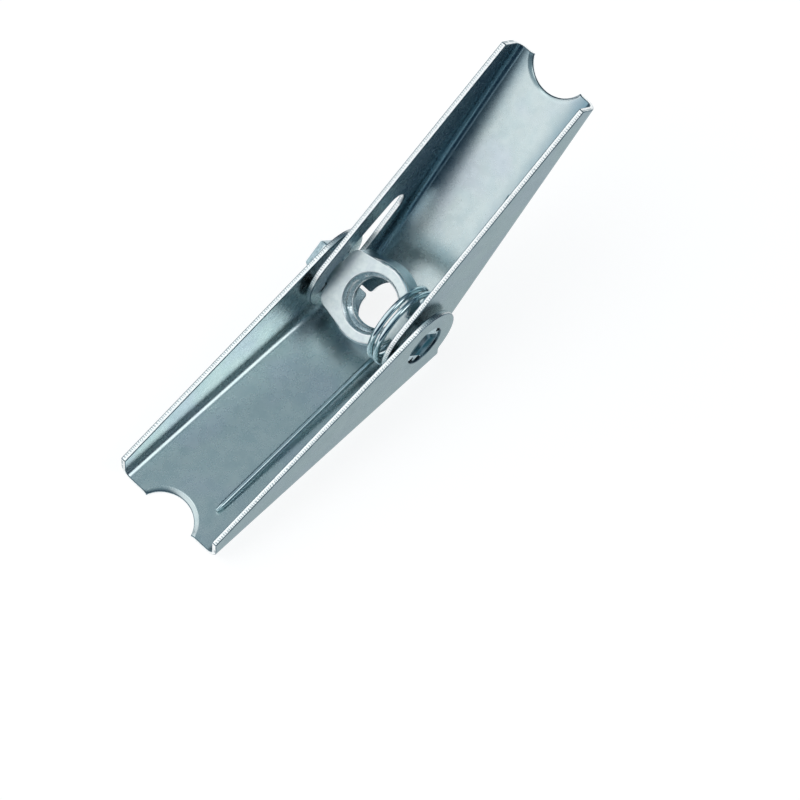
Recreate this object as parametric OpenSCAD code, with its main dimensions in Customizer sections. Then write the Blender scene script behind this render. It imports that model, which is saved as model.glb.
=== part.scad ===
// Spring toggle for a 10 mm bolt: two folded sheet wings that turn on the square
// ends of a threaded cross nut and are pushed open by a torsion spring.
//
// The frame is that of the open toggle lying on a table. The back of the outer
// wing is flat on it, X runs along that wing from its tip to the hinge, Y is the
// hinge axis and Z is up. The origin is the middle of the cross nut.

/* [Sheet] */
// Thickness of the sheet that both wings are folded from
sheet = 1; // [0.8:0.05:1.2]
// Inside radius of the folds along a wing
fold_r = 1.9; // [1.3:0.1:2.4]
// Angle between the two wings when the toggle is open
open_angle = 135.5; // [120:0.5:150]
// Gap between the flanges of the two wings, on each side
wing_gap = 0.9; // [0.6:0.05:1.4]
// Gap between the ends of the two backs when the toggle is open
back_end_gap = 0.5; // [0.4:0.05:1.2]

/* [Outer wing] */
// Length from the hinge axis to the tip
outer_len = 49; // [35:1:70]
// Height of the flanges at the tip, over the back
outer_tip_h = 5.7; // [4:0.1:8]
// Sheet left round the hinge hole in each ear
outer_ear_wall = 3.2; // [2.4:0.1:4]
// Radius of the corner between an ear and the end of the back
ear_corner_r = 1.2; // [0.6:0.1:2]

/* [Inner wing] */
// Length from the hinge axis to the tip
inner_len = 48.5; // [35:1:70]
// Height of the flanges at the tip, over the back
inner_tip_h = 5.9; // [4:0.1:8]
// Sheet left round the hinge hole in each ear
inner_ear_wall = 3.55; // [2.6:0.1:4]
// Gap between the heels of the ears and the outer wing when the toggle is open
heel_gap = 0.15; // [0.1:0.05:0.4]
// Length of the slot in one flange, between the centres of its two ends
slot_len = 14.4; // [8:0.2:20]
// Radius of the slot at its far end
slot_end_r = 2.35; // [1.5:0.05:3]
// Angle of the slot to the back
slot_angle = 14.5; // [8:0.5:20]

/* [Notches for the bolt] */
// Radius of the notch at the hinge end of the outer wing's back
outer_notch_r = 5.35; // [5.05:0.05:6.5]
// Radius of the notch at the hinge end of the inner wing's back
inner_notch_r = 5.05; // [5.05:0.05:6.5]
// Radius of the corners where a notch at the hinge meets the end of its back
notch_corner_r = 0.7; // [0.3:0.1:1]
// Radius of the notch at the tip of each back
tip_notch_r = 5.6; // [5.1:0.05:6.5]
// Depth of the notch at the tip
tip_notch_depth = 3.7; // [2:0.1:5]

/* [Cross nut] */
// Bore of the thread, across its crests
thread_bore = 8.6; // [8:0.1:9.2]
// Width of the countersink at both mouths of the thread
mouth_d = 10.7; // [10:0.1:11.4]
// Depth of the countersink at each mouth
mouth_depth = 1.6; // [0.8:0.1:1.8]
// Thickness of the nut
nut_t = 4.8; // [4:0.1:6]
// Radius of the round body
nut_r = 7.4; // [6.8:0.1:8]
// How far the middle of the body lies from the thread, towards the shoulder
body_shift = 0.35; // [0:0.05:0.6]
// Chamfer round the body
nut_chamfer = 0.4; // [0.3:0.1:1]
// Width of the shoulder on the side away from the spring
shoulder_w = 11.8; // [10:0.1:13]
// Radius of the two corners of the shoulder
shoulder_r = 2; // [0.5:0.1:2.4]
// Gap between the shoulder and the inner wing
shoulder_gap = 0.15; // [0.1:0.05:1]
// Width of the bars that carry the wings
bar_w = 5.2; // [4.4:0.1:6]
// Radius along the edges of the bars
bar_edge_r = 0.4; // [0.2:0.1:0.8]
// Chamfer at the ends of the bars
bar_chamfer = 0.7; // [0.3:0.1:1.2]
// Play of the bars in the hinge holes
bar_play = 0.5; // [0.2:0.05:0.8]
// How far the bar on the shoulder's side stands out of the outer wing
bar_out_shoulder = 2.6; // [1:0.1:4]
// How far the bar on the spring's side stands out of the outer wing
bar_out_spring = 0.1; // [0.1:0.1:3]
// How far the nut leans from upright towards the outer wing
nut_lean = 38; // [0:1:60]

/* [Torsion spring] */
// Thickness of the wire
wire_d = 1.1; // [0.8:0.05:1.3]
// Whole turns of the coil, besides the part turn between the legs
turns = 2; // [1:1:3]
// Gap between neighbouring turns
turn_gap = 0.3; // [0.05:0.05:0.5]
// Gap between the coil and the part of the nut that it sits on
coil_gap = 0.05; // [0.02:0.01:0.4]
// Inside radius of the coil
coil_in_r = 6.5; // [6:0.1:7]
// How far the coil leans over towards the nut at its top
coil_lean = 1; // [0:0.5:6]
// Gap between the last turn and the inner wing
coil_side_gap = 0.4; // [0.3:0.05:1.5]
// Gap between the coil and the backs of the wings
coil_back_gap = 1.95; // [1.2:0.05:3]
// Reach of the leg that lies on the outer wing, from the hinge axis
outer_leg_len = 43; // [25:1:46]
// Reach of the leg that lies on the inner wing, from the hinge axis
inner_leg_len = 27; // [20:1:46]
// Distance of the outer leg's end from the middle of its wing
outer_leg_side = 5.4; // [3:0.1:6]
// Distance of the inner leg's end from the middle of its wing
inner_leg_side = 5.9; // [3:0.1:6.2]
// Gap under the end of each leg
leg_gap = 0.03; // [0.01:0.01:0.2]

/* [Hidden] */
$fn = 72;
past = 1;                                   // how far a cut runs past what it cuts
half_angle = (180 - open_angle) / 2;        // each wing's rise from a straight line
rise = 180 - open_angle;                    // the inner wing's rise from the table

// Cross nut
bar_reach_r = norm([bar_w, nut_t]) / 2 - bar_edge_r * (sqrt(2) - 1);
hinge_hole_r = bar_reach_r + bar_play;

// Spring: the coil slides over the round body until the body gets too wide for it
wire_r = wire_d / 2;
coil_r = coil_in_r + wire_r;
coil_out_r = coil_in_r + wire_d;
pitch = wire_d + turn_gap;
body_half_in_coil = sqrt(pow(coil_in_r - coil_gap, 2) - pow(nut_t / 2 - nut_chamfer, 2));
coil_start_y = body_shift - sqrt(pow(nut_r, 2) - pow(body_half_in_coil, 2)) - wire_r;
lean_shift = coil_r * tan(coil_lean);

// Backs of the wings, measured from the hinge axis
back_in = coil_out_r + coil_back_gap;
back_out = back_in + sheet;
back_past = (back_in * sin(half_angle) - back_end_gap / 2) / cos(half_angle);
corner_steps = 6;

// Spring legs: each runs from its wing's back, near the tip, on to the coil
leg_z = back_in - wire_r - leg_gap;
outer_leg_a = leg_angle(outer_leg_len);
inner_leg_a = leg_angle(inner_leg_len);
coil_sweep = 360 * turns + rise + 180 - outer_leg_a - inner_leg_a;
coil_end_y = coil_start_y - pitch * coil_sweep / 360;

// Widths: the coil fills the inner wing, which fills the outer wing
inner_in_w = 2 * (-coil_end_y + lean_shift + wire_r + coil_side_gap);
inner_w = inner_in_w + 2 * sheet;
outer_in_w = inner_w + 2 * wing_gap;
outer_w = outer_in_w + 2 * sheet;

// Ears
outer_ear_r = hinge_hole_r + outer_ear_wall;
inner_ear_r = hinge_hole_r + inner_ear_wall;
fold_rise = fold_r - sqrt(pow(fold_r, 2) - pow(max(fold_r - wing_gap, 0), 2));
heel_drop = back_in - fold_rise - heel_gap;
heel_r = heel_drop + heel_gap / 2;
heel_x = sqrt(pow(heel_r, 2) - pow(heel_drop, 2));

// Spring's path
coil_step = 12;
coil_steps = ceil(coil_sweep / coil_step);
wire_sides = 10;

// Angle, from the axis along the wing, at which a leg leaves the coil
function leg_angle(reach) = atan2(leg_z, reach) + acos(coil_r / norm([reach, leg_z]));

// Point at a distance and an angle from the hinge axis, in a side view
function polar(r, a) = [r * cos(a), r * sin(a)];

// Where a line through p touches a circle of radius r round the hinge axis
function touch(p, r, side) = polar(r, atan2(p[1], p[0]) + side * acos(r / norm(p)));

// A side view point of the inner wing, from the part's frame into the wing's own
function into_inner(p) = [
    p[0] * cos(rise) + p[1] * sin(rise),
    p[1] * cos(rise) - p[0] * sin(rise)
];

// Area of a channel's cross-section before it is hollowed: flat at the bottom,
// with its two lower corners round
module trough(width, bottom, corner) {
    top = coil_out_r + back_out;
    translate([-width / 2, -bottom + corner])
        square([width, top]);
    translate([-width / 2 + corner, -bottom])
        square([width - 2 * corner, top]);
    for (side = [-1, 1])
        translate([side * (width / 2 - corner), -bottom + corner])
            circle(corner);
}

// The folded channel, running along X from the hinge end to the tip
module channel(width, len) {
    translate([-back_out, 0, 0])
        rotate([90, 0, 90])
            linear_extrude(len + back_out)
                difference() {
                    trough(width, back_out, fold_r + sheet);
                    trough(width - 2 * sheet, back_in, fold_r);
                }
}

// A side view pulled out across the whole width of a wing
module across(width) {
    rotate([90, 0, 0])
        linear_extrude(width, center = true)
            children();
}

// Side view that both wings share: the back, the tapering flange and the round ear.
// At the hinge end it runs through the given points, from the ear to the back
module wing_side(len, tip_h, ear_r, hinge_end) {
    tip = [len, tip_h - back_out];
    circle(ear_r);
    polygon([
        [-back_past, -back_out],
        [len, -back_out],
        tip,
        touch(tip, ear_r, 1),
        [0, 0],
        each hinge_end
    ]);
}

// Hinge end of the outer wing: a round corner from the ear to the end of the back
function ear_corner() =
    let (
        out = outer_ear_r + ear_corner_r,
        side = back_past + ear_corner_r,
        centre = [-side, -sqrt(pow(out, 2) - pow(side, 2))],
        turn = atan2(-centre[1], -centre[0])
    )
    [for (i = [corner_steps : -1 : 0]) centre + polar(ear_corner_r, turn * i / corner_steps)];

// Hinge end of the inner wing: a heel, whose lower face stops against the outer wing
function heel() =
    let (corner = into_inner([-heel_x, -heel_drop]))
    [
        touch(corner, inner_ear_r, -1),
        corner,
        [-back_past, (back_past * sin(rise) - heel_drop) / cos(rise)]
    ];

// Outline of the notch at the end of a back, whose two corners are round
module notch_outline(r) {
    corner_y = sqrt(pow(r + notch_corner_r, 2) - pow(notch_corner_r, 2));
    corner_x = r * notch_corner_r / (r + notch_corner_r);
    circle(r);
    difference() {
        translate([-past, -corner_y])
            square([corner_x + past, 2 * corner_y]);
        for (side = [-1, 1])
            translate([notch_corner_r, side * corner_y])
                circle(notch_corner_r);
    }
}

// Round notches that let the bolt through the back, at both ends of a wing
module bolt_notches(len, hinge_r) {
    depth = 2 * (sheet + past);
    translate([-back_past, 0, -back_out])
        linear_extrude(depth, center = true)
            notch_outline(hinge_r);
    translate([len + tip_notch_r - tip_notch_depth, 0, -back_out])
        cylinder(r = tip_notch_r, h = depth, center = true);
}

// Hinge hole through both ears
module hinge_hole(width) {
    rotate([90, 0, 0])
        cylinder(r = hinge_hole_r, h = width + 2 * past, center = true);
}

// Slot that runs from the hinge hole along one flange and narrows on the way
module slot() {
    turn = acos((hinge_hole_r - slot_end_r) / slot_len);
    near = hinge_hole_r;
    far = slot_end_r;
    translate([0, inner_w / 2 + past, 0])
        rotate([90, slot_angle, 0])
            linear_extrude(sheet + 2 * past) {
                polygon([
                    polar(near, -turn),
                    [slot_len, 0] + polar(far, -turn),
                    [slot_len, 0] + polar(far, turn),
                    polar(near, turn)
                ]);
                translate([slot_len, 0])
                    circle(far);
            }
}

// Outer wing, with its tip towards -X and its back flat on the table
module outer_wing() {
    color([0.62, 0.72, 0.74])
        mirror([1, 0, 0])
            difference() {
                intersection() {
                    channel(outer_w, outer_len);
                    across(outer_w)
                        wing_side(outer_len, outer_tip_h, outer_ear_r, ear_corner());
                }
                bolt_notches(outer_len, outer_notch_r);
                hinge_hole(outer_w);
            }
}

// Inner wing, which fits between the outer wing's ears and rises from the hinge
module inner_wing() {
    color([0.7, 0.79, 0.82])
        rotate([0, -rise, 0])
            difference() {
                intersection() {
                    channel(inner_w, inner_len);
                    across(inner_w)
                        wing_side(inner_len, inner_tip_h, inner_ear_r, heel());
                }
                bolt_notches(inner_len, inner_notch_r);
                hinge_hole(inner_w);
                slot();
            }
}

// Round body of the nut, chamfered round both faces
module nut_body() {
    flank = nut_t / 2 - nut_chamfer;
    translate([0, body_shift, 0])
        rotate_extrude()
            polygon([
                [0, -nut_t / 2],
                [nut_r - nut_chamfer, -nut_t / 2],
                [nut_r, -flank],
                [nut_r, flank],
                [nut_r - nut_chamfer, nut_t / 2],
                [0, nut_t / 2]
            ]);
}

// Shoulder that fills the round body out towards the inner wing
module nut_shoulder() {
    y = inner_in_w / 2 - shoulder_gap - body_shift;
    corner = [shoulder_w / 2 - shoulder_r, y - shoulder_r];
    body_r = nut_r - nut_chamfer;
    // the flank touches the round body and the round corner alike
    turn = acos((body_r - shoulder_r) / norm(corner));
    flank = atan2(corner[1], corner[0]) - turn;
    translate([0, body_shift, 0])
        linear_extrude(nut_t, center = true) {
            polygon([
                polar(body_r, flank),
                corner + polar(shoulder_r, flank),
                corner,
                [corner[0], y],
                [-corner[0], y],
                [-corner[0], corner[1]],
                [-corner[0], corner[1]] + polar(shoulder_r, 180 - flank),
                polar(body_r, 180 - flank)
            ]);
            for (side = [-1, 1])
                translate([side * corner[0], corner[1]])
                    circle(shoulder_r);
        }
}

// One bar, from the middle of the nut out to y = reach, chamfered at its end
module bar(reach) {
    round_w = bar_w / 2 - bar_edge_r;
    round_t = nut_t / 2 - bar_edge_r;
    intersection() {
        rotate([-90, 0, 0])
            linear_extrude(reach) {
                square([bar_w, 2 * round_t], center = true);
                square([2 * round_w, nut_t], center = true);
                for (x = [-round_w, round_w], z = [-round_t, round_t])
                    translate([x, z])
                        circle(bar_edge_r);
            }
        linear_extrude(nut_t, center = true)
            bar_taper(bar_w / 2, reach);
        rotate([0, 90, 0])
            linear_extrude(bar_w, center = true)
                bar_taper(nut_t / 2, reach);
    }
}

// Outline of a bar seen from one side, with its two far corners cut off
module bar_taper(half, reach) {
    polygon([
        [-half, 0],
        [half, 0],
        [half, reach - bar_chamfer],
        [half - bar_chamfer, reach],
        [bar_chamfer - half, reach],
        [-half, reach - bar_chamfer]
    ]);
}

// Threaded bore, with a countersink at each mouth
module thread_bore_cut() {
    widening = (mouth_d - thread_bore) / mouth_depth;
    cylinder(d = thread_bore, h = nut_t + 2 * past, center = true);
    for (flip = [0, 180])
        rotate([flip, 0, 0])
            translate([0, 0, nut_t / 2 - mouth_depth])
                cylinder(
                    d1 = thread_bore,
                    d2 = mouth_d + widening * past,
                    h = mouth_depth + past
                );
}

// Cross nut: a round body, a shoulder on one side, and a bar on each side
module cross_nut() {
    color([0.82, 0.86, 0.87])
        rotate([0, -nut_lean, 0])
            difference() {
                union() {
                    nut_body();
                    nut_shoulder();
                    bar(outer_w / 2 + bar_out_shoulder);
                    mirror([0, 1, 0])
                        bar(outer_w / 2 + bar_out_spring);
                }
                thread_bore_cut();
            }
}

// Centre line of the coil at an angle from its start, which is at the outer leg
function coil_point(a) =
    let (side = polar(coil_r, a + outer_leg_a - 180))
    [side[0], coil_start_y - pitch * a / 360 + side[1] * tan(coil_lean), side[1]];

// Unit vector
function unit(v) = v / norm(v);

// The whole centre line: outer leg, coil, inner leg
function spring_path() =
    let (inner_end = polar(1, rise))
    concat(
        [[-outer_leg_len, -outer_leg_side, -leg_z]],
        [for (i = [0 : coil_steps]) coil_point(coil_sweep * i / coil_steps)],
        [[
            inner_leg_len * inner_end[0] + leg_z * inner_end[1],
            -inner_leg_side,
            inner_leg_len * inner_end[1] - leg_z * inner_end[0]
        ]]
    );

// One ring of points round the wire, square to its run
function wire_ring(at, along) =
    let (
        u = unit(cross(along, [0, 1, 0])),
        v = cross(u, along)
    )
    [for (i = [0 : wire_sides - 1])
        at + wire_r * (cos(360 * i / wire_sides) * u + sin(360 * i / wire_sides) * v)];

// Torsion spring, as one round wire swept along its centre line
module torsion_spring() {
    path = spring_path();
    last = len(path) - 1;
    points = [for (i = [0 : last])
        let (along = unit(path[min(i + 1, last)] - path[max(i - 1, 0)]))
        each wire_ring(path[i], along)];
    sides = [for (i = [0 : last - 1], j = [0 : wire_sides - 1])
        let (k = (j + 1) % wire_sides)
        [i * wire_sides + j, i * wire_sides + k, (i + 1) * wire_sides + k, (i + 1) * wire_sides + j]];
    ends = [
        [for (j = [wire_sides - 1 : -1 : 0]) j],
        [for (j = [0 : wire_sides - 1]) last * wire_sides + j]
    ];
    color([0.78, 0.82, 0.84])
        polyhedron(points, concat(ends, sides), convexity = 6);
}

outer_wing();
inner_wing();
cross_nut();
torsion_spring();
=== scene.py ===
"""Looks of a spring toggle for a 10 mm bolt: two folded, zinc plated wings, a threaded
cross nut and a torsion spring, lying open on a white table."""

import math

import bmesh
import bpy
from mathutils import Euler, Matrix, Vector

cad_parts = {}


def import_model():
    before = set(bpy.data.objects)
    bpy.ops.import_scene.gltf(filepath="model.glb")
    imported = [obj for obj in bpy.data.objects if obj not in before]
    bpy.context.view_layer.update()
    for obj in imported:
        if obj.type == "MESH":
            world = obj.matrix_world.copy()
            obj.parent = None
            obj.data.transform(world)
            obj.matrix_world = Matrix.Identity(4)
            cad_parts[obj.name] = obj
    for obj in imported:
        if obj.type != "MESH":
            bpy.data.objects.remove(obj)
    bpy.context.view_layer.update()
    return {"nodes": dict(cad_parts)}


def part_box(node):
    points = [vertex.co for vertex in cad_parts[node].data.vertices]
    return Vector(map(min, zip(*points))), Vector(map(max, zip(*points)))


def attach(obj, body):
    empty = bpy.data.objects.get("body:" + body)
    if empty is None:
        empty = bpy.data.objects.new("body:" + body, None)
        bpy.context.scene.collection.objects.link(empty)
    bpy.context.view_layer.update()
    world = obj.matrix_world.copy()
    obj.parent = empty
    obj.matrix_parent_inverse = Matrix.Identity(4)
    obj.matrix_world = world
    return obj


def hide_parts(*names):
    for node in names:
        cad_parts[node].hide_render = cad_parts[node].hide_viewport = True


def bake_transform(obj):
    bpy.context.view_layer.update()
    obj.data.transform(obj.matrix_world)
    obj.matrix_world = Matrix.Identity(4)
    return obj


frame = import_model()

MM = 0.001

# A vertex this near to a face or a limit counts as on it
NEAR = 0.02 * MM
# Cosines that tell a face square on from one seen edge on
SQUARE_ON = 0.98
EDGE_ON = 0.05

# Frame of the part: the table is under the outer wing's back, the inner wing rises
TABLE_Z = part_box("outer_wing")[0].z
INNER_RISE = math.radians(44.5)
SHEET = 1.0 * MM
# Inner radius of the folds: the solid's, and the one that they are pressed to here
FOLD_R = 1.9 * MM
FOLD_PRESSED_R = 1.3 * MM
# From the hinge axis down to the outer face of a wing's back
BACK_OUT = -TABLE_Z

# Lean of the cross nut, and radii of its thread's crests, its roots and the bore's mouths
NUT_LEAN = math.radians(38)
CREST_R = 4.3 * MM
ROOT_R = 4.95 * MM
MOUTH_R = 5.35 * MM
THREAD_PITCH = 1.5 * MM


# ---------------------------------------------------------------- mesh helpers

def select_only(piece):
    bpy.ops.object.select_all(action="DESELECT")
    piece.select_set(True)
    bpy.context.view_layer.objects.active = piece


def copy_of_node(node, name, materials):
    """A new piece with a merged copy of a CAD node's mesh, its flat faces made whole."""
    piece = bpy.data.objects.new(name, frame["nodes"][node].data.copy())
    bpy.context.scene.collection.objects.link(piece)
    piece.data.materials.clear()
    for material in materials:
        piece.data.materials.append(material)
    select_only(piece)
    bpy.ops.object.mode_set(mode="EDIT")
    bpy.ops.mesh.select_all(action="SELECT")
    bpy.ops.mesh.remove_doubles(threshold=0.002 * MM)
    bpy.ops.mesh.normals_make_consistent(inside=False)
    bpy.ops.mesh.dissolve_limited(angle_limit=math.radians(0.4))
    bpy.ops.object.mode_set(mode="OBJECT")
    return piece


def stands_for(piece, node, body):
    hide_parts(node)
    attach(piece, body)


SHARP_EDGE = math.radians(35)


def round_edges(piece, width, segments, strip_face, chosen, profile=0.5):
    """Rounds the sharp edges that are chosen, and gives the new strips a finish."""
    select_only(piece)
    bpy.ops.object.mode_set(mode="EDIT")
    shape = bmesh.from_edit_mesh(piece.data)
    layer = shape.edges.layers.float.get("bevel_weight_edge")
    if layer is None:
        layer = shape.edges.layers.float.new("bevel_weight_edge")
    for edge in shape.edges:
        sharp = len(edge.link_faces) == 2 and edge.calc_face_angle() > SHARP_EDGE
        edge[layer] = 1.0 if sharp and chosen(edge) else 0.0
    bmesh.update_edit_mesh(piece.data)
    bpy.ops.object.mode_set(mode="OBJECT")
    rounding = piece.modifiers.new("rounding", "BEVEL")
    rounding.limit_method = "WEIGHT"
    rounding.width = width
    rounding.segments = segments
    rounding.profile = profile
    rounding.use_clamp_overlap = False
    rounding.material = strip_face
    bpy.ops.object.modifier_apply(modifier="rounding")


def smooth(piece, degrees=32):
    """Smooth shading over folds and rounded edges, with the flat faces kept flat."""
    select_only(piece)
    bpy.ops.object.shade_smooth_by_angle(angle=math.radians(degrees))
    flatten = piece.modifiers.new("flat_faces", "WEIGHTED_NORMAL")
    flatten.mode = "FACE_AREA"
    flatten.weight = 80
    flatten.keep_sharp = True
    bpy.ops.object.modifier_apply(modifier="flat_faces")


# ---------------------------------------------------------------- node helpers

def add(tree, kind, inputs=None, **settings):
    """Adds a node. Each of its inputs is given a value, or another node's output."""
    node = tree.nodes.new("ShaderNode" + kind)
    for setting, value in settings.items():
        setattr(node, setting, value)
    for socket, value in (inputs or {}).items():
        if isinstance(value, bpy.types.NodeSocket):
            tree.links.new(value, node.inputs[socket])
        else:
            node.inputs[socket].default_value = value
    return node


def maths(tree, operation, *values):
    return add(tree, "Math", dict(enumerate(values)), operation=operation).outputs[0]


def noise(tree, place, size, detail=2.0, roughness=0.5):
    """Noise whose lumps are about as large as size, from 0 to 1."""
    scale = maths(tree, "DIVIDE", 1.0, size)
    return add(tree, "TexNoise", {
        "Vector": place,
        "Scale": scale,
        "Detail": detail,
        "Roughness": roughness,
    }).outputs["Fac"]


def ramp(tree, value, low, high):
    """0 below low and 1 above high, with a soft step between."""
    return add(tree, "MapRange", {
        "Value": value,
        "From Min": low,
        "From Max": high,
    }, interpolation_type="SMOOTHSTEP").outputs["Result"]


def mixed(tree, mask, under, over, blend="MIX"):
    inputs = {"Factor": mask, "A": under, "B": over}
    mix = add(tree, "Mix", inputs, data_type="RGBA", blend_type=blend)
    return mix.outputs["Result"]


def new_group(name, inputs, outputs):
    """An empty node group with its named sockets, each input with its kind and value."""
    group = bpy.data.node_groups.new(name, "ShaderNodeTree")
    new_socket = group.interface.new_socket
    for socket, (kind, value) in inputs.items():
        made = new_socket(socket, in_out="INPUT", socket_type="NodeSocket" + kind)
        if value is not None:
            made.default_value = value
    for socket, kind in outputs.items():
        new_socket(socket, in_out="OUTPUT", socket_type="NodeSocket" + kind)
    given = group.nodes.new("NodeGroupInput").outputs
    result = group.nodes.new("NodeGroupOutput").inputs
    return group, given, result


# ---------------------------------------------------------------- shared effects

def cloudy_plating():
    """Colour of zinc plating: clouds of a duller tone, and a bloom of another hue."""
    tree, given, result = new_group("cloudy_plating", {
        "Vector": ("Vector", None),
        "Bright": ("Color", (0.7, 0.7, 0.7, 1)),
        "Dull": ("Color", (0.5, 0.5, 0.5, 1)),
        "Bloom": ("Color", (0.6, 0.6, 0.7, 1)),
        "Cloud Size": ("Float", 3 * MM),
        "Cloud Strength": ("Float", 0.5),
        "Bloom Strength": ("Float", 0.3),
    }, {"Colour": "Color"})
    lumps = noise(tree, given["Vector"], given["Cloud Size"], 4.0, 0.6)
    clouds = ramp(tree, lumps, 0.38, 0.66)
    clouds = maths(tree, "MULTIPLY", clouds, given["Cloud Strength"])
    colour = mixed(tree, clouds, given["Bright"], given["Dull"])
    wide = maths(tree, "MULTIPLY", given["Cloud Size"], 2.3)
    hue = ramp(tree, noise(tree, given["Vector"], wide, 1.0), 0.45, 0.7)
    hue = maths(tree, "MULTIPLY", hue, given["Bloom Strength"])
    tree.links.new(mixed(tree, hue, colour, given["Bloom"]), result["Colour"])
    return tree


def satin_skin():
    """Roughness and height of a plated skin: uneven gloss, ripples and fine grain."""
    tree, given, result = new_group("satin_skin", {
        "Vector": ("Vector", None),
        "Roughness": ("Float", 0.3),
        "Roughness Change": ("Float", 0.05),
        "Patch Size": ("Float", 2 * MM),
        "Ripple Size": ("Float", 1 * MM),
        "Ripple Height": ("Float", 0.002 * MM),
        "Grain Size": ("Float", 0.15 * MM),
        "Grain Height": ("Float", 0.0002 * MM),
    }, {"Roughness": "Float", "Height": "Float"})
    patches = noise(tree, given["Vector"], given["Patch Size"], 4.0, 0.65)
    swing = maths(tree, "MULTIPLY_ADD", patches, 2.0, -1.0)
    change = given["Roughness Change"]
    uneven = maths(tree, "MULTIPLY_ADD", swing, change, given["Roughness"])
    tree.links.new(uneven, result["Roughness"])
    ripples = noise(tree, given["Vector"], given["Ripple Size"], 1.0)
    grain = noise(tree, given["Vector"], given["Grain Size"], 1.0)
    height = maths(tree, "MULTIPLY", ripples, given["Ripple Height"])
    height = maths(tree, "MULTIPLY_ADD", grain, given["Grain Height"], height)
    tree.links.new(height, result["Height"])
    return tree


# Faces that stand this little outside the channel's walls and floor still count as in it
FACE_SLACK = 0.1 * MM


def in_channel(tree, given):
    """Distances from a channel's wall and floor, and a mask of the room between them.
    Vector has the channel's length along X and its floor square to Z."""
    place = add(tree, "SeparateXYZ", {"Vector": given["Vector"]}).outputs
    side = maths(tree, "ABSOLUTE", place["Y"])
    from_wall = maths(tree, "SUBTRACT", given["Half Width"], side)
    from_floor = maths(tree, "SUBTRACT", place["Z"], given["Floor"])
    inside = maths(tree, "GREATER_THAN", from_wall, -FACE_SLACK)
    above = maths(tree, "GREATER_THAN", from_floor, -FACE_SLACK)
    return from_wall, from_floor, maths(tree, "MULTIPLY", inside, above)


def inner_corner():
    """Masks of where shade is painted: a channel's inner corners, and its flanks, the
    outer faces of its walls."""
    tree, given, result = new_group("inner_corner", {
        "Vector": ("Vector", None),
        "Half Width": ("Float", 10 * MM),
        "Floor": ("Float", 0.0),
        "Reach": ("Float", 3 * MM),
    }, {"Mask": "Float", "Flank": "Float"})
    from_wall, from_floor, room = in_channel(tree, given)
    away = maths(tree, "ADD", from_wall, from_floor)
    near = maths(tree, "SUBTRACT", 1.0, maths(tree, "DIVIDE", away, given["Reach"]))
    mask = maths(tree, "MULTIPLY", ramp(tree, near, 0.0, 1.0), room)
    tree.links.new(mask, result["Mask"])
    tree.links.new(maths(tree, "LESS_THAN", from_wall, -SHEET / 2), result["Flank"])
    return tree


def channel_bow():
    """Height of a channel's floor and walls where they curl, by a few tenths of a
    millimetre, into the folds."""
    tree, given, result = new_group("channel_bow", {
        "Vector": ("Vector", None),
        "Half Width": ("Float", 10 * MM),
        "Floor": ("Float", 0.0),
        "Floor Reach": ("Float", 6 * MM),
        "Floor Slope": ("Float", 0.05),
        "Wall Reach": ("Float", 2 * MM),
        "Wall Slope": ("Float", 0.05),
    }, {"Height": "Float"})
    from_wall, from_floor, room = in_channel(tree, given)

    def curl(away, reach, slope):
        share = maths(tree, "DIVIDE", away, reach)
        near = maths(tree, "MAXIMUM", maths(tree, "SUBTRACT", 1.0, share), 0.0)
        rise = maths(tree, "MULTIPLY", maths(tree, "MULTIPLY", reach, slope), 0.5)
        return maths(tree, "MULTIPLY", maths(tree, "POWER", near, 2.0), rise)

    height = maths(
        tree, "ADD",
        curl(from_wall, given["Floor Reach"], given["Floor Slope"]),
        curl(from_floor, given["Wall Reach"], given["Wall Slope"]),
    )
    tree.links.new(maths(tree, "MULTIPLY", height, room), result["Height"])
    return tree


# Depth in the sheet to which the cutter's teeth are full, and at which they are gone
TEETH_FULL = 0.45 * MM
TEETH_GONE = 0.65 * MM


def shear_marks():
    """Flecks of a sheared edge and, on its outer half, the teeth that the cutter left."""
    tree, given, result = new_group("shear_marks", {
        "Vector": ("Vector", None),
        "Outer Face": ("Float", 10 * MM),
        "Tooth Pitch": ("Float", 0.45 * MM),
        "Fleck Size": ("Float", 0.3 * MM),
    }, {"Flecks": "Float", "Teeth": "Float"})
    place = add(tree, "SeparateXYZ", {"Vector": given["Vector"]}).outputs
    flecks = noise(tree, given["Vector"], given["Fleck Size"], 3.0, 0.7)
    tree.links.new(ramp(tree, flecks, 0.52, 0.68), result["Flecks"])
    wide = maths(tree, "MULTIPLY", given["Tooth Pitch"], 3.0)
    wobble = noise(tree, given["Vector"], wide, 1.0)
    turns = maths(tree, "DIVIDE", place["X"], given["Tooth Pitch"])
    turns = maths(tree, "MULTIPLY_ADD", wobble, 1.5, turns)
    wave = maths(tree, "SINE", maths(tree, "MULTIPLY", turns, math.tau))
    side = maths(tree, "ABSOLUTE", place["Y"])
    depth = maths(tree, "SUBTRACT", given["Outer Face"], side)
    outer_half = ramp(tree, depth, TEETH_GONE, TEETH_FULL)
    teeth = maths(tree, "MULTIPLY", ramp(tree, wave, -0.2, 0.8), outer_half)
    tree.links.new(teeth, result["Teeth"])
    return tree


CLOUDY_PLATING = cloudy_plating()
SATIN_SKIN = satin_skin()
INNER_CORNER = inner_corner()
CHANNEL_BOW = channel_bow()
SHEAR_MARKS = shear_marks()


# ---------------------------------------------------------------- finishes

def metal(name):
    """A material of bare metal with the piece's own coordinates."""
    material = bpy.data.materials.new(name)
    material.use_nodes = True
    tree = material.node_tree
    surface = tree.nodes["Principled BSDF"]
    surface.inputs["Metallic"].default_value = 1.0
    place = add(tree, "TexCoord").outputs["Object"]
    return material, tree, surface, place


def place_group(tree, group, inputs):
    """Puts a shared effect into a material, with its own values."""
    return add(tree, "Group", inputs, node_tree=group).outputs


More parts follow.
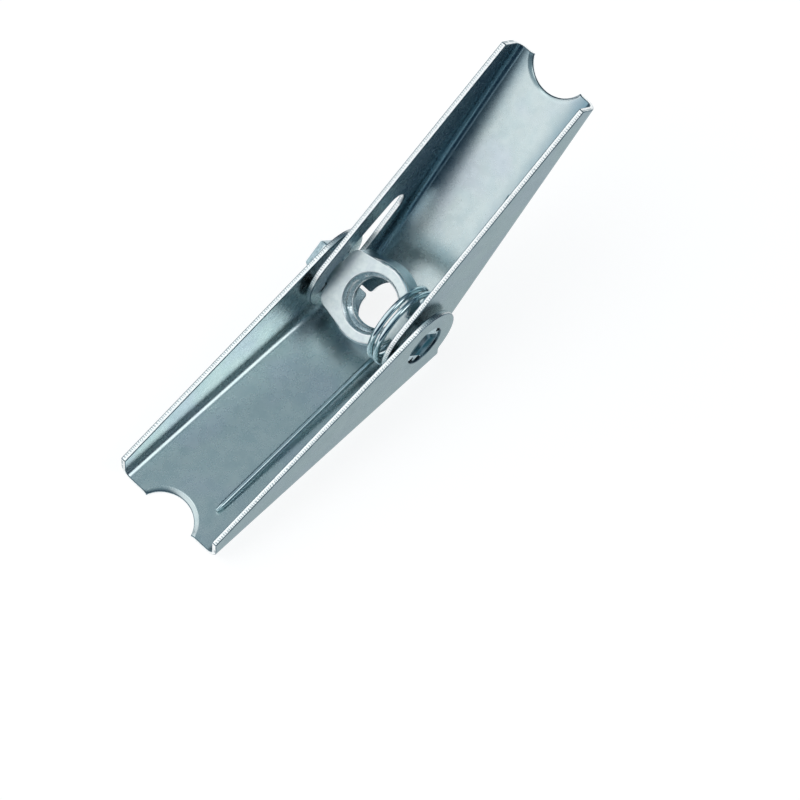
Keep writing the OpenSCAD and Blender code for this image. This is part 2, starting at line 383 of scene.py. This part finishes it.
def along_wing(tree, place, turn):
    """The place measured along the wing's channel, its floor square to Z."""
    laid = add(tree, "Mapping", {"Vector": place, "Rotation": (0, turn, 0)})
    return laid.outputs["Vector"]


def finish(tree, surface, colour, roughness, height):
    tree.links.new(colour, surface.inputs["Base Color"])
    tree.links.new(roughness, surface.inputs["Roughness"])
    bump = add(tree, "Bump", {"Height": height, "Distance": 1.0, "Strength": 1.0})
    tree.links.new(bump.outputs["Normal"], surface.inputs["Normal"])


SHEET_BRIGHT = (0.635, 0.735, 0.74, 1)
SHEET_DULL = (0.53, 0.66, 0.685, 1)
SHEET_BLOOM = (0.60, 0.67, 0.75, 1)
# Painted shade that darkens a wing's inner corners and folds
CORNER_PAINTED_SHADE = (0.13, 0.26, 0.34, 1)
# Painted shade: multiplies the sheet's colour on the outer faces of a wing's walls
FLANK_PAINTED_SHADE = (0.31, 0.405, 0.435, 1)
EDGE_WHITE = (0.97, 1.0, 1.0, 1)
EDGE_DARK = (0.22, 0.30, 0.33, 1)
TOOTH_DEPTH = 0.012 * MM


def sheet_zinc(name, turn, outside, bow_slope, shade_reach, shade_share):
    """The plated sheet of a wing, with painted shade in its inner corners and on its
    flanks.
    """
    material, tree, surface, place = metal(name)
    laid = along_wing(tree, place, turn)
    plating = place_group(tree, CLOUDY_PLATING, {
        "Vector": laid,
        "Bright": SHEET_BRIGHT,
        "Dull": SHEET_DULL,
        "Bloom": SHEET_BLOOM,
        "Cloud Size": 3.2 * MM,
        "Cloud Strength": 0.5,
        "Bloom Strength": 0.5,
    })
    corner = place_group(tree, INNER_CORNER, {
        "Vector": laid,
        "Half Width": outside - SHEET,
        "Floor": SHEET - BACK_OUT,
        "Reach": shade_reach,
    })
    # Painted shade darkens the inner corners
    corner_shade = maths(tree, "MULTIPLY", corner["Mask"], shade_share)
    colour = mixed(tree, corner_shade, plating["Colour"], CORNER_PAINTED_SHADE)
    # Painted shade on the flanks, the outer faces of the walls
    colour = mixed(tree, corner["Flank"], colour, FLANK_PAINTED_SHADE, "MULTIPLY")
    skin = place_group(tree, SATIN_SKIN, {
        "Vector": laid,
        "Roughness": 0.27,
        "Roughness Change": 0.08,
        "Patch Size": 2.0 * MM,
        "Ripple Size": 1.1 * MM,
        "Ripple Height": 0.004 * MM,
        "Grain Size": 0.16 * MM,
        "Grain Height": 0.00015 * MM,
    })
    bow = place_group(tree, CHANNEL_BOW, {
        "Vector": laid,
        "Half Width": outside - SHEET,
        "Floor": SHEET - BACK_OUT,
        "Floor Reach": 9.0 * MM,
        "Floor Slope": bow_slope,
        "Wall Reach": 3.0 * MM,
        "Wall Slope": bow_slope,
    })
    height = maths(tree, "ADD", skin["Height"], bow["Height"])
    finish(tree, surface, colour, skin["Roughness"], height)
    return material


def cut_edge(name, turn, outside):
    """A wing's sheared edge: rough, near white, flecked and toothed."""
    material, tree, surface, place = metal(name)
    laid = along_wing(tree, place, turn)
    marks = place_group(tree, SHEAR_MARKS, {
        "Vector": laid,
        "Outer Face": outside,
        "Tooth Pitch": 0.42 * MM,
        "Fleck Size": 0.28 * MM,
    })
    flecks = maths(tree, "MULTIPLY", marks["Flecks"], 0.55)
    teeth = maths(tree, "MULTIPLY", marks["Teeth"], 0.7)
    colour = mixed(tree, maths(tree, "MAXIMUM", flecks, teeth), EDGE_WHITE, EDGE_DARK)
    skin = place_group(tree, SATIN_SKIN, {
        "Vector": laid,
        "Roughness": 0.30,
        "Roughness Change": 0.08,
        "Patch Size": 0.6 * MM,
        "Ripple Size": 0.5 * MM,
        "Ripple Height": 0.006 * MM,
        "Grain Size": 0.12 * MM,
        "Grain Height": 0.0010 * MM,
    })
    height = maths(tree, "MULTIPLY_ADD", marks["Teeth"], -TOOTH_DEPTH, skin["Height"])
    finish(tree, surface, colour, skin["Roughness"], height)
    return material


def plain_metal(name, bright, dull, roughness, grain, cloud):
    """Metal of the smaller pieces, with clouds and grain at a scale of their own."""
    material, tree, surface, place = metal(name)
    plating = place_group(tree, CLOUDY_PLATING, {
        "Vector": place,
        "Bright": bright,
        "Dull": dull,
        "Bloom": SHEET_BLOOM,
        "Cloud Size": cloud,
        "Cloud Strength": 0.5,
        "Bloom Strength": 0.25,
    })
    skin = place_group(tree, SATIN_SKIN, {
        "Vector": place,
        "Roughness": roughness,
        "Roughness Change": 0.08,
        "Patch Size": 1.0 * MM,
        "Ripple Size": 0.9 * MM,
        "Ripple Height": 0.004 * MM,
        "Grain Size": 0.14 * MM,
        "Grain Height": grain,
    })
    finish(tree, surface, plating["Colour"], skin["Roughness"], skin["Height"])
    return material


nut_zinc = plain_metal(
    "nut_zinc",
    bright=(0.79, 0.88, 0.88, 1),
    dull=(0.62, 0.73, 0.75, 1),
    roughness=0.36,
    grain=0.0030 * MM,
    cloud=0.7 * MM,
)
nut_rim = plain_metal(
    "nut_rim",
    bright=(0.97, 1.0, 1.0, 1),
    dull=(0.70, 0.80, 0.82, 1),
    roughness=0.32,
    grain=0.0020 * MM,
    cloud=0.6 * MM,
)
thread_zinc = plain_metal(
    "thread_zinc",
    bright=(0.78, 0.88, 0.91, 1),
    dull=(0.35, 0.46, 0.51, 1),
    roughness=0.28,
    grain=0.0040 * MM,
    cloud=0.35 * MM,
)
# Painted shade: a darker colour for the nut's sides
nut_side_shade = plain_metal(
    "nut_side_shade",
    bright=(0.40, 0.55, 0.60, 1),
    dull=(0.26, 0.38, 0.43, 1),
    roughness=0.34,
    grain=0.0030 * MM,
    cloud=0.6 * MM,
)
# Painted shade: a near black for the bar's end inside its hinge hole
shaded_bar_end = plain_metal(
    "shaded_bar_end",
    bright=(0.045, 0.10, 0.13, 1),
    dull=(0.012, 0.035, 0.05, 1),
    roughness=0.26,
    grain=0.0020 * MM,
    cloud=1.0 * MM,
)
# Painted shade that keeps the bar's end dark at a low angle too
BAR_SHADE_GRAZING = (0.42, 0.52, 0.56, 1)
shaded_bar_surface = shaded_bar_end.node_tree.nodes["Principled BSDF"]
shaded_bar_surface.inputs["Specular Tint"].default_value = BAR_SHADE_GRAZING
staked_end = plain_metal(
    "staked_end",
    bright=(0.46, 0.61, 0.66, 1),
    dull=(0.07, 0.12, 0.15, 1),
    roughness=0.30,
    grain=0.0060 * MM,
    cloud=0.35 * MM,
)
# Painted shade: dark strips along the wings' edges, and dark hinge hole walls
painted_edge_shade = plain_metal(
    "painted_edge_shade",
    bright=(0.13, 0.21, 0.25, 1),
    dull=(0.06, 0.10, 0.13, 1),
    roughness=0.32,
    grain=0.0010 * MM,
    cloud=0.8 * MM,
)
wire_zinc = plain_metal(
    "wire_zinc",
    bright=(0.68, 0.81, 0.84, 1),
    dull=(0.52, 0.67, 0.72, 1),
    roughness=0.09,
    grain=0.0003 * MM,
    cloud=1.5 * MM,
)


# ---------------------------------------------------------------- wings

# SHADE_LINE_FACE is painted shade, on the edges' rounded strips and the hole walls
SHEET_FACE, CUT_FACE, SHADE_LINE_FACE = range(3)
# The middle of a cut face lies deeper in the sheet than this
CUT_DEPTH = 0.05 * SHEET
# A cut face nearer to the hinge axis than this is the wall of its hole
HOLE_WALL_R = 4.3 * MM
# A vertex this near to the arc of a fold is pressed with it
FOLD_NEAR = 0.05 * MM
EDGE_R = 0.14 * MM

# Room that holds the notch of a tip
NOTCH_LENGTH = 7 * MM
NOTCH_HALF = 6.6 * MM
# The notch's edge rolled over: its width, and the depths that it keeps
ROLL_WIDTH = 0.9 * MM
ROLL_SLOPE = 0.16
ROLL_CURVE = 0.45


def press_folds(piece, half, up):
    """Presses the insides of the two folds to a smaller radius than the solid's."""
    inwards = FOLD_R - FOLD_PRESSED_R
    for vertex in piece.data.vertices:
        side = math.copysign(1, vertex.co.y)
        out = abs(vertex.co.y) - (half - SHEET - FOLD_R)
        down = SHEET + FOLD_R - BACK_OUT - vertex.co.dot(up)
        in_fold = out > -NEAR and down > -NEAR
        if in_fold and abs(math.hypot(out, down) - FOLD_R) < FOLD_NEAR:
            vertex.co.y += side * inwards * (1 - out / FOLD_R)
            vertex.co -= up * (inwards * (1 - down / FOLD_R))


def wing(node, name, body, turn, tip_side, bow_slope, shade_reach, shade_share):
    """A wing's sheet with its sheared edges finished apart and its notch rolled over."""
    low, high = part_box(node)
    half = (high.y - low.y) / 2
    piece = copy_of_node(node, name, [
        sheet_zinc(name + "_zinc", turn, half, bow_slope, shade_reach, shade_share),
        cut_edge(name + "_edge", turn, half),
        painted_edge_shade,
    ])
    along = Vector((math.cos(turn), 0, math.sin(turn)))
    up = Vector((-math.sin(turn), 0, math.cos(turn)))
    for face in piece.data.polygons:
        middle = Vector(face.center)
        in_flange = CUT_DEPTH < half - abs(middle.y) < SHEET - CUT_DEPTH
        in_back = CUT_DEPTH < middle.dot(up) + BACK_OUT < SHEET - CUT_DEPTH
        across_flange = abs(face.normal.y) < EDGE_ON and in_flange
        across_back = abs(face.normal.dot(up)) < EDGE_ON and in_back
        end = abs(face.normal.dot(along)) > SQUARE_ON
        if across_flange or across_back or end:
            face.material_index = CUT_FACE
        # The walls of the hinge holes take painted shade
        if across_flange and math.hypot(middle.x, middle.z) < HOLE_WALL_R:
            face.material_index = SHADE_LINE_FACE

    press_folds(piece, half, up)
    tip = max(tip_side * vertex.co.dot(along) for vertex in piece.data.vertices)

    def below_floor(place):
        return SHEET - BACK_OUT - place.dot(up)

    def short_of_tip(place):
        return tip - tip_side * place.dot(along)

    def by_notch(place):
        return short_of_tip(place) < NOTCH_LENGTH and abs(place.y) < NOTCH_HALF

    def on_notch(edge):
        places = [vertex.co for vertex in edge.verts]
        on_floor = all(abs(below_floor(place)) < NEAR for place in places)
        on_end = all(short_of_tip(place) < NEAR for place in places)
        return on_floor and not on_end and all(by_notch(place) for place in places)

    # The punch rolls the notch's edge over: a wide chamfer, made shallow near the floor
    round_edges(piece, ROLL_WIDTH, 5, SHEET_FACE, on_notch, profile=0.25)
    for vertex in piece.data.vertices:
        depth = below_floor(vertex.co)
        if by_notch(vertex.co) and NEAR / 2 < depth < ROLL_WIDTH + NEAR:
            kept = ROLL_SLOPE * depth + ROLL_CURVE * depth * depth / MM
            vertex.co += up * (depth - kept)
    # The other edges are rounded, and their strips get painted shade
    round_edges(piece, EDGE_R, 2, SHADE_LINE_FACE, lambda edge: not on_notch(edge))
    smooth(piece)
    stands_for(piece, node, body)


wing(
    "outer_wing",
    "outer_wing_sheet",
    "outer",
    turn=0,
    tip_side=-1,
    bow_slope=0.09,
    shade_reach=1.2 * MM,
    shade_share=0.45,
)
wing(
    "inner_wing",
    "inner_wing_sheet",
    "inner",
    turn=INNER_RISE,
    tip_side=1,
    bow_slope=0.0,
    shade_reach=5.0 * MM,
    shade_share=0.9,
)


# ---------------------------------------------------------------- cross nut

# SHADED_BAR_FACE and SHADED_SIDE_FACE carry painted shade
NUT_FACE, RIM_FACE, THREAD_FACE, SHADED_BAR_FACE, STAKED_FACE, SHADED_SIDE_FACE = range(6)
NUT_AXIS = Vector((-math.sin(NUT_LEAN), 0, math.cos(NUT_LEAN)))
NUT_EDGE_R = 0.15 * MM

# The bar's long end: the length that is spread, by how much, and the dent in its face
STAKE_LENGTH = 1.1 * MM
STAKE_SPREAD = 1.22
STAKE_RIM = 0.55 * MM
STAKE_DENT = 0.3 * MM

# The bar's short end, peened in its hinge hole: how far the burr is sunk there, how
# thick it is, and the gap left round it
HINGE_HOLE_R = 3.87 * MM
PEEN_SUNK = 0.35 * MM
PEEN_DEPTH = 0.65 * MM
PEEN_GAP = 0.08 * MM
# Places where the burr stays short: angle and width in degrees, and depth
PEEN_BITES = [
    (13, 9, 0.7 * MM),
    (120, 22, 0.5 * MM),
    (213, 8, 1.2 * MM),
    (247, 9, 1.2 * MM),
]

# The short end's painted shade reaches this far into its ear, and the long end's
# staked finish starts this far beyond the other ear
END_WITHIN = 0.8 * SHEET
END_BEYOND = 0.8 * SHEET


def thread_cutter():
    """A helical ridge of the thread's groove, standing along the nut's leaning bore."""
    turns = 5
    inside = CREST_R - 0.25 * MM
    # Half the groove's width, at its mouth and at its root
    wide = THREAD_PITCH * 0.45
    narrow = THREAD_PITCH / 16
    bpy.ops.object.select_all(action="DESELECT")
    bpy.ops.mesh.primitive_circle_add(vertices=4, radius=1 * MM, fill_type="NOTHING")
    cutter = bpy.context.active_object
    cutter.name = "thread_cutter"
    profile = [(inside, -wide), (ROOT_R, -narrow), (ROOT_R, narrow), (inside, wide)]
    start = -turns * THREAD_PITCH / 2
    for vertex, (radius, height) in zip(cutter.data.vertices, profile):
        vertex.co = (radius, 0, start + height)
    screw = cutter.modifiers.new("screw", "SCREW")
    screw.axis = "Z"
    screw.angle = math.tau
    screw.screw_offset = THREAD_PITCH
    screw.iterations = turns
    screw.steps = 64
    screw.render_steps = 64
    screw.use_merge_vertices = True
    screw.merge_threshold = 0.001 * MM
    bpy.ops.object.modifier_apply(modifier="screw")
    bpy.ops.object.mode_set(mode="EDIT")
    bpy.ops.mesh.select_all(action="SELECT")
    bpy.ops.mesh.remove_doubles(threshold=0.001 * MM)
    bpy.ops.mesh.select_all(action="DESELECT")
    bpy.ops.mesh.select_non_manifold()
    bpy.ops.mesh.edge_face_add()
    bpy.ops.mesh.select_all(action="SELECT")
    bpy.ops.mesh.normals_make_consistent(inside=False)
    bpy.ops.object.mode_set(mode="OBJECT")
    cutter.data.transform(Matrix.Rotation(-NUT_LEAN, 4, "Y"))
    return cutter


def cut_thread(nut):
    """Cuts the thread, gives its faces their own finish, and paints shade on the nut's
    sides.
    """
    cutter = thread_cutter()
    select_only(nut)
    cut = nut.modifiers.new("thread", "BOOLEAN")
    cut.operation = "DIFFERENCE"
    cut.solver = "EXACT"
    cut.object = cutter
    bpy.ops.object.modifier_apply(modifier="thread")
    bpy.data.objects.remove(cutter)
    for face in nut.data.polygons:
        middle = Vector(face.center)
        from_axis = (middle - NUT_AXIS * middle.dot(NUT_AXIS)).length
        square = abs(face.normal.dot(NUT_AXIS)) > SQUARE_ON
        if square or face.material_index != NUT_FACE:
            continue
        # Faces beyond the bore's mouth are the nut's sides, with painted shade
        face.material_index = THREAD_FACE if from_axis < MOUTH_R else SHADED_SIDE_FACE


def stake_end(nut):
    """Spreads the bar's long end as a punch does, and leaves it rough."""
    top = max(vertex.co.y for vertex in nut.data.vertices)
    select_only(nut)
    bpy.ops.object.mode_set(mode="EDIT")
    bpy.ops.mesh.select_all(action="SELECT")
    bpy.ops.mesh.bisect(plane_co=(0, top - STAKE_LENGTH, 0), plane_no=(0, 1, 0))
    bpy.ops.mesh.select_all(action="DESELECT")
    shape = bmesh.from_edit_mesh(nut.data)
    shape.faces.ensure_lookup_table()
    for face in shape.faces:
        if all(vertex.co.y > top - NEAR for vertex in face.verts):
            face.select = True
            face.material_index = STAKED_FACE
    bmesh.update_edit_mesh(nut.data)
    spread = (STAKE_SPREAD, 1, STAKE_SPREAD)
    bpy.ops.transform.resize(value=spread, center_override=(0, top, 0))
    bpy.ops.mesh.inset(thickness=STAKE_RIM)
    bpy.ops.transform.translate(value=(0, -STAKE_DENT, 0))
    bpy.ops.object.mode_set(mode="OBJECT")


def peen_end(nut):
    """Spreads the bar's short end under the punch, until it nearly fills the hole."""
    bpy.ops.object.select_all(action="DESELECT")
    bpy.ops.mesh.primitive_cylinder_add(
        vertices=120,
        radius=HINGE_HOLE_R,
        depth=PEEN_DEPTH,
        location=(0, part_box("outer_wing")[0].y + PEEN_SUNK + PEEN_DEPTH / 2, 0),
        rotation=(math.radians(90), 0, 0),
    )
    burr = bpy.context.active_object
    burr.name = "peened_burr"
    bpy.ops.object.transform_apply()
    for vertex in burr.data.vertices:
        around = math.degrees(math.atan2(vertex.co.z, vertex.co.x)) % 360
        short = PEEN_GAP
        for middle, width, depth in PEEN_BITES:
            short += depth * math.exp(-(((around - middle) / width) ** 2))
        vertex.co.x *= 1 - short / HINGE_HOLE_R
        vertex.co.z *= 1 - short / HINGE_HOLE_R
    burr.data.materials.append(staked_end)
    select_only(nut)
    join = nut.modifiers.new("peened", "BOOLEAN")
    join.operation = "UNION"
    join.solver = "EXACT"
    join.material_mode = "TRANSFER"
    join.object = burr
    bpy.ops.object.modifier_apply(modifier="peened")
    bpy.data.objects.remove(burr)


nut_finishes = [nut_zinc, nut_rim, thread_zinc, shaded_bar_end, staked_end, nut_side_shade]
nut = copy_of_node("cross_nut", "nut_body", nut_finishes)
stake_end(nut)
peen_end(nut)
outer_low, outer_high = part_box("outer_wing")
peened_to = outer_low.y + PEEN_SUNK + PEEN_DEPTH + NEAR


def past_burr(edge):
    return all(vertex.co.y > peened_to for vertex in edge.verts)


round_edges(nut, NUT_EDGE_R, 2, RIM_FACE, past_burr)
cut_thread(nut)
# The bar's short end, in its hinge hole, takes painted shade
for face in nut.data.polygons:
    in_hole = face.center.y < outer_low.y + END_WITHIN
    if in_hole and face.material_index != STAKED_FACE:
        face.material_index = SHADED_BAR_FACE
    if face.center.y > outer_high.y + END_BEYOND:
        face.material_index = STAKED_FACE
smooth(nut)
stands_for(nut, "cross_nut", "nut")


# ---------------------------------------------------------------- torsion spring

WIRE_R = 0.55 * MM
COIL_R = 7.05 * MM
COIL_TURNS = 2
COIL_START_Y = -4.342 * MM
COIL_PITCH = 1.40 * MM
COIL_LEAN = math.tan(math.radians(1))
LEG_Z = 8.97 * MM
OUTER_LEG = Vector((-43, -5.4, 0)) * MM
INNER_LEG = Vector((27, -5.9, 0)) * MM
# The cutter pinched the end of the outer leg: over what length, and to what share
PINCH_LENGTH = 1.6 * MM
PINCH_SHARE = 0.55


def leg_angle(reach):
    """Angle at which a leg of that reach leaves the coil, where it is tangent to it."""
    far = math.hypot(reach, LEG_Z)
    return math.atan2(LEG_Z, reach) + math.acos(COIL_R / far)


def spring_path():
    """The wire's middle line, from the end of the outer leg to that of the inner one."""
    start = leg_angle(-OUTER_LEG.x) - math.pi
    end = INNER_RISE - leg_angle(INNER_LEG.x) + COIL_TURNS * math.tau
    steps = 150
    cut_end = Vector((OUTER_LEG.x, OUTER_LEG.y, -LEG_Z))
    path = [cut_end, cut_end + Vector((PINCH_LENGTH, 0, 0))]
    for i in range(steps + 1):
        angle = start + (end - start) * i / steps
        x = COIL_R * math.cos(angle)
        z = COIL_R * math.sin(angle)
        y = COIL_START_Y - COIL_PITCH * (angle - start) / math.tau + z * COIL_LEAN
        path.append(Vector((x, y, z)))
    tip = Vector((INNER_LEG.x, INNER_LEG.y, -LEG_Z))
    tip.rotate(Euler((0, -INNER_RISE, 0)))
    path.append(tip)
    return path


def spring():
    """The wire, round its middle line."""
    curve = bpy.data.curves.new("spring_wire", "CURVE")
    curve.dimensions = "3D"
    curve.bevel_depth = WIRE_R
    curve.bevel_resolution = 5
    curve.use_fill_caps = True
    path = spring_path()
    spline = curve.splines.new("POLY")
    spline.points.add(len(path) - 1)
    for point, place in zip(spline.points, path):
        point.co = (*place, 1)
    spline.points[0].radius = PINCH_SHARE
    piece = bpy.data.objects.new("spring_wire", curve)
    bpy.context.scene.collection.objects.link(piece)
    select_only(piece)
    bpy.ops.object.convert(target="MESH")
    piece = bpy.context.view_layer.objects.active
    piece.data.materials.append(wire_zinc)
    smooth(piece, degrees=50)
    return piece


wire = spring()
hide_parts("torsion_spring")
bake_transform(wire)


# ---------------------------------------------------------------- table, lights, camera

def aim(azimuth, elevation):
    """Unit vector towards a compass direction, in degrees."""
    azimuth = math.radians(azimuth)
    elevation = math.radians(elevation)
    flat = math.cos(elevation)
    across = (math.cos(azimuth) * flat, math.sin(azimuth) * flat)
    return Vector((*across, math.sin(elevation)))


# How bright the table itself looks, to the camera and in the metal alike
TABLE_SEEN = (0.85, 0.85, 0.85, 1)
# How much of the light that falls on it the table adds to that
TABLE_PAPER = (0.28, 0.28, 0.28, 1)


def table():
    bpy.ops.object.select_all(action="DESELECT")
    bpy.ops.mesh.primitive_plane_add(size=4, location=(0, 0, 0))
    top = bpy.context.active_object
    top.name = "table"
    top.data.transform(Matrix.Translation((0, 0, TABLE_Z)))
    material = bpy.data.materials.new("white_table")
    material.use_nodes = True
    tree = material.node_tree
    tree.nodes.clear()
    rays = add(tree, "LightPath").outputs
    mirrored = maths(tree, "MAXIMUM", rays["Is Glossy Ray"], rays["Is Transmission Ray"])
    shown = maths(tree, "MAXIMUM", rays["Is Camera Ray"], mirrored)
    glow = add(tree, "Emission", {"Color": TABLE_SEEN, "Strength": shown})
    paper = add(tree, "BsdfDiffuse", {"Color": TABLE_PAPER})
    both = add(tree, "AddShader", {0: paper.outputs[0], 1: glow.outputs[0]})
    add(tree, "OutputMaterial", {"Surface": both.outputs[0]})
    top.data.materials.append(material)


# Soft panels of the studio: azimuth, elevation, full within and gone beyond, in degrees,
# and colour
PANELS = [
    (132, 36, 33, 50, (1.06, 1.07, 1.085)),
    (-59, 50, 12, 21, (1.8, 1.82, 1.8)),
    (95, 73, 7, 14, (1.4, 1.45, 1.45)),
]
DIM_SKY = (0.014, 0.046, 0.078)
TOP_SKY = (0.255, 0.34, 0.385)
# Degrees from straight up within which the top is full, and beyond which it is gone
TOP_FULL = 15
TOP_GONE = 65


def world():
    sky = bpy.data.worlds.new("studio")
    bpy.context.scene.world = sky
    sky.use_nodes = True
    tree = sky.node_tree
    towards = add(tree, "TexCoord").outputs["Generated"]

    def lobe(axis, full, gone):
        facing = add(tree, "VectorMath", {0: towards, 1: axis}, operation="DOT_PRODUCT")
        near = math.cos(math.radians(full))
        far = math.cos(math.radians(gone))
        return ramp(tree, facing.outputs["Value"], far, near)

    overhead = lobe((0, 0, 1), TOP_FULL, TOP_GONE)
    colour = mixed(tree, overhead, (*DIM_SKY, 1), (*TOP_SKY, 1))
    for azimuth, elevation, full, gone, shade in PANELS:
        panel = lobe(aim(azimuth, elevation), full, gone)
        colour = mixed(tree, panel, colour, (*shade, 1))
    tree.links.new(colour, tree.nodes["Background"].inputs["Color"])


def lamp(name, azimuth, elevation, distance, size, watts):
    """A square lamp that faces the hinge, and isn't itself mirrored in the metal."""
    light = bpy.data.lights.new(name, "AREA")
    light.size = size
    light.energy = watts
    obj = bpy.data.objects.new(name, light)
    away = aim(azimuth, elevation)
    obj.location = away * distance
    obj.rotation_euler = away.to_track_quat("Z", "Y").to_euler()
    obj.visible_glossy = False
    bpy.context.scene.collection.objects.link(obj)


CAMERA_AZIMUTH = -138.66
CAMERA_ELEVATION = 63.735
CAMERA_ROLL = math.radians(3.66)
CAMERA_DISTANCE = 884.3 * MM


def camera():
    view = bpy.data.cameras.new("camera")
    view.lens = 236.8
    view.sensor_width = 36
    view.shift_x = 0.0292
    view.shift_y = -0.1212
    view.clip_start = 0.05
    view.clip_end = 20
    obj = bpy.data.objects.new("camera", view)
    away = aim(CAMERA_AZIMUTH, CAMERA_ELEVATION)
    obj.location = away * CAMERA_DISTANCE
    turn = away.to_track_quat("Z", "Y").to_matrix()
    obj.rotation_euler = (turn @ Matrix.Rotation(CAMERA_ROLL, 3, "Z")).to_euler()
    bpy.context.scene.collection.objects.link(obj)
    bpy.context.scene.camera = obj


table()
world()
lamp("key", azimuth=140, elevation=50, distance=0.6, size=0.4, watts=0.35)
camera()
bpy.context.scene.view_settings.view_transform = "Standard"
